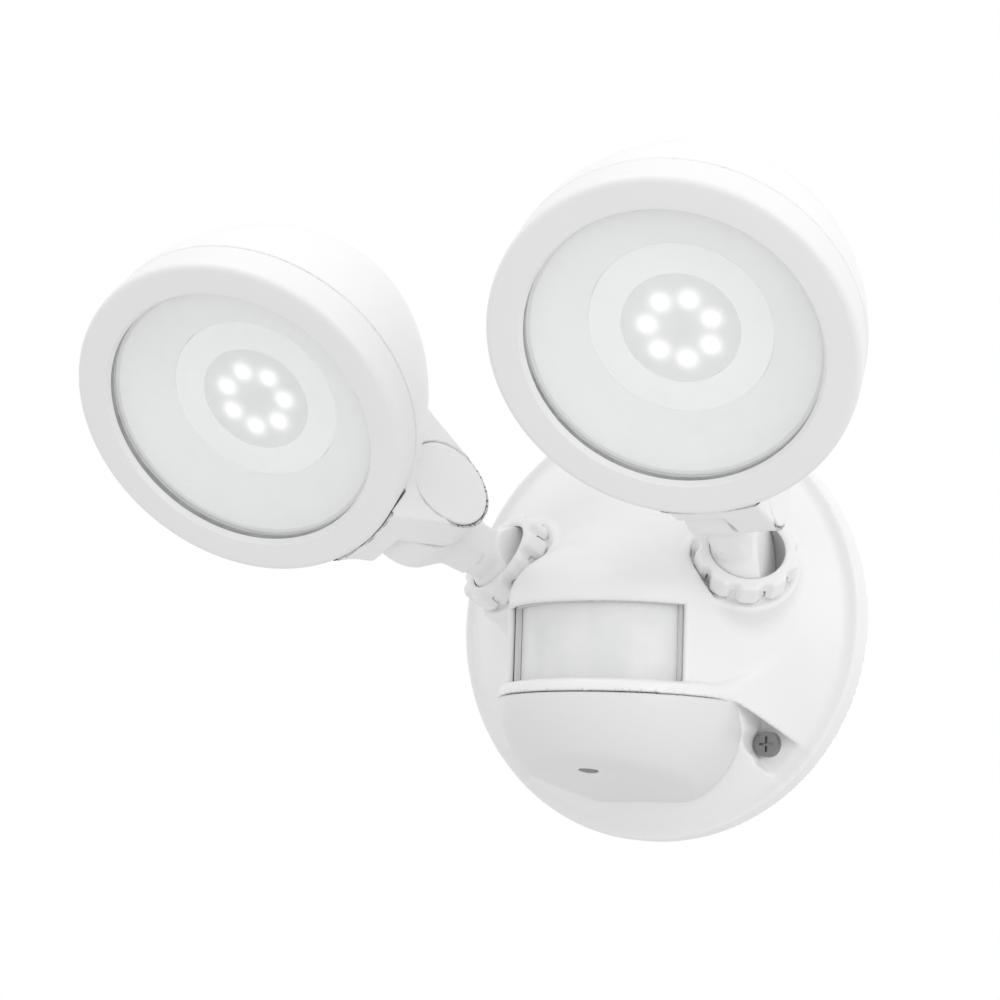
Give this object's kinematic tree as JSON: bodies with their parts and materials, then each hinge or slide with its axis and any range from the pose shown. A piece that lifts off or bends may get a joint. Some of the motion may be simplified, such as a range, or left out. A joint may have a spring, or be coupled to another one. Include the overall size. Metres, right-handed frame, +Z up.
{
  "type": "motion-sensing floodlight",
  "caption": "Wall floodlight with motion sensor: a round canopy, a half-round sensor lens over a rounded chin, and bowl-shaped lamps on ball-jointed arms with friction hinges.",
  "frame": {"origin": "centre of the mounting plate's rear face, where it meets the wall box", "axes": "+Y into the wall, -Y out of the wall, +Z up, +X to the right of a person facing the light"},
  "size_m": [0.2535, 0.1652, 0.1965],
  "materials": {
    "white_gloss_plastic": "satin gloss moulded",
    "pale_plastic": "satin moulded",
    "bezel_plastic": "satin moulded",
    "grey_plastic": "matt moulded",
    "milky_plastic": "milky, ribbed on the inside",
    "smoked_plastic": "clear smoked",
    "zinc_steel": "zinc plated, pressed",
    "screw_steel": "zinc plated",
    "can_metal": "plated",
    "black_foam_rubber": "closed-cell foam",
    "black_rubber": "matt",
    "seat_rubber": "matt",
    "washer_fibre": "fibre",
    "board_green": "solder-masked",
    "led_board_white": "white solder mask",
    "led_phosphor": "phosphor under clear silicone",
    "photocell_ceramic": "ceramic",
    "transformer_core": "ferrite core, taped winding",
    "capacitor_sleeve": "sleeved can",
    "relay_case": "moulded",
    "terminal_plastic": "moulded",
    "clear_lens": "clear",
    "reflector_white": "glossy white",
    "diffuser_plastic": "pale moulded",
    "cast_aluminium": "die-cast"
  },
  "bodies": {
    "base": {"mounting_plate": "zinc_steel", "wall_gasket": "black_foam_rubber", "canopy_cover": "white_gloss_plastic", "sensor_chin": "pale_plastic", "pir_lens": "milky_plastic", "lens_frame": "grey_plastic", "pir_element": "can_metal", "sensor_board": "board_green", "photocell_window": "smoked_plastic", "light_sensor": "photocell_ceramic", "driver_board": "board_green", "transformer": "transformer_core", "capacitors": "capacitor_sleeve", "relay": "relay_case", "terminal_block": "terminal_plastic", "cover_screws": "screw_steel", "screw_seals": "black_rubber"},
    "left_ring": {"left_lock_ring": "white_gloss_plastic"},
    "left_seat": {"left_ball_seat": "seat_rubber"},
    "left_arm": {"left_arm": "white_gloss_plastic", "left_hinge_bolt": "screw_steel", "left_hinge_nut": "screw_steel", "left_friction_washer": "washer_fibre"},
    "left_lamp": {"left_lamp_housing": "white_gloss_plastic", "left_hinge_cap": "white_gloss_plastic", "left_bezel": "bezel_plastic", "left_lens": "clear_lens", "left_lens_gasket": "black_rubber", "left_reflector": "reflector_white", "left_led_carrier": "diffuser_plastic", "left_led_board": "led_board_white", "left_leds": "led_phosphor", "left_heat_sink": "cast_aluminium", "left_sink_screws": "screw_steel"},
    "right_ring": {"right_lock_ring": "white_gloss_plastic"},
    "right_seat": {"right_ball_seat": "seat_rubber"},
    "right_arm": {"right_arm": "white_gloss_plastic", "right_hinge_bolt": "screw_steel", "right_hinge_nut": "screw_steel", "right_friction_washer": "washer_fibre"},
    "right_lamp": {"right_lamp_housing": "white_gloss_plastic", "right_hinge_cap": "white_gloss_plastic", "right_bezel": "bezel_plastic", "right_lens": "clear_lens", "right_lens_gasket": "black_rubber", "right_reflector": "reflector_white", "right_led_carrier": "diffuser_plastic", "right_led_board": "led_board_white", "right_leds": "led_phosphor", "right_heat_sink": "cast_aluminium", "right_sink_screws": "screw_steel"}
  },
  "joints": [
    {"name": "left_ring_turn", "type": "hinge", "parent": "base", "child": "left_ring", "pos_m": [-0.0407, -0.0305, 0.0162], "axis": [-0.4635, -0.7417, 0.4848], "range_deg": [0, 60]},
    {"name": "left_arm_turn", "type": "hinge", "parent": "base", "child": "left_seat", "pos_m": [-0.0407, -0.0305, 0.0162], "axis": [-0.4635, -0.7417, 0.4848], "range_deg": [-15, 25]},
    {"name": "left_arm_lean", "type": "hinge", "parent": "left_seat", "child": "left_arm", "pos_m": [-0.0407, -0.0305, 0.0162], "axis": [0.8835, -0.4284, 0.1893], "range_deg": [-30, 2]},
    {"name": "left_lamp_tilt", "type": "hinge", "parent": "left_arm", "child": "left_lamp", "pos_m": [-0.05361, -0.06697, 0.03224], "axis": [0.848, -0.3202, 0.4224], "range_deg": [-35, 35]},
    {"name": "right_ring_turn", "type": "hinge", "parent": "base", "child": "right_ring", "pos_m": [0.0407, -0.0305, 0.0162], "axis": [0.4635, -0.7417, 0.4848], "range_deg": [0, 60]},
    {"name": "right_arm_turn", "type": "hinge", "parent": "base", "child": "right_seat", "pos_m": [0.0407, -0.0305, 0.0162], "axis": [-0.4635, 0.7417, -0.4848], "range_deg": [-15, 25]},
    {"name": "right_arm_lean", "type": "hinge", "parent": "right_seat", "child": "right_arm", "pos_m": [0.0407, -0.0305, 0.0162], "axis": [0.2405, -0.4213, -0.8745], "range_deg": [-40, 0]},
    {"name": "right_lamp_tilt", "type": "hinge", "parent": "right_arm", "child": "right_lamp", "pos_m": [0.05258, -0.0658, 0.03535], "axis": [0.9877, 0.1477, 0.0512], "range_deg": [-35, 35]}
  ]
}
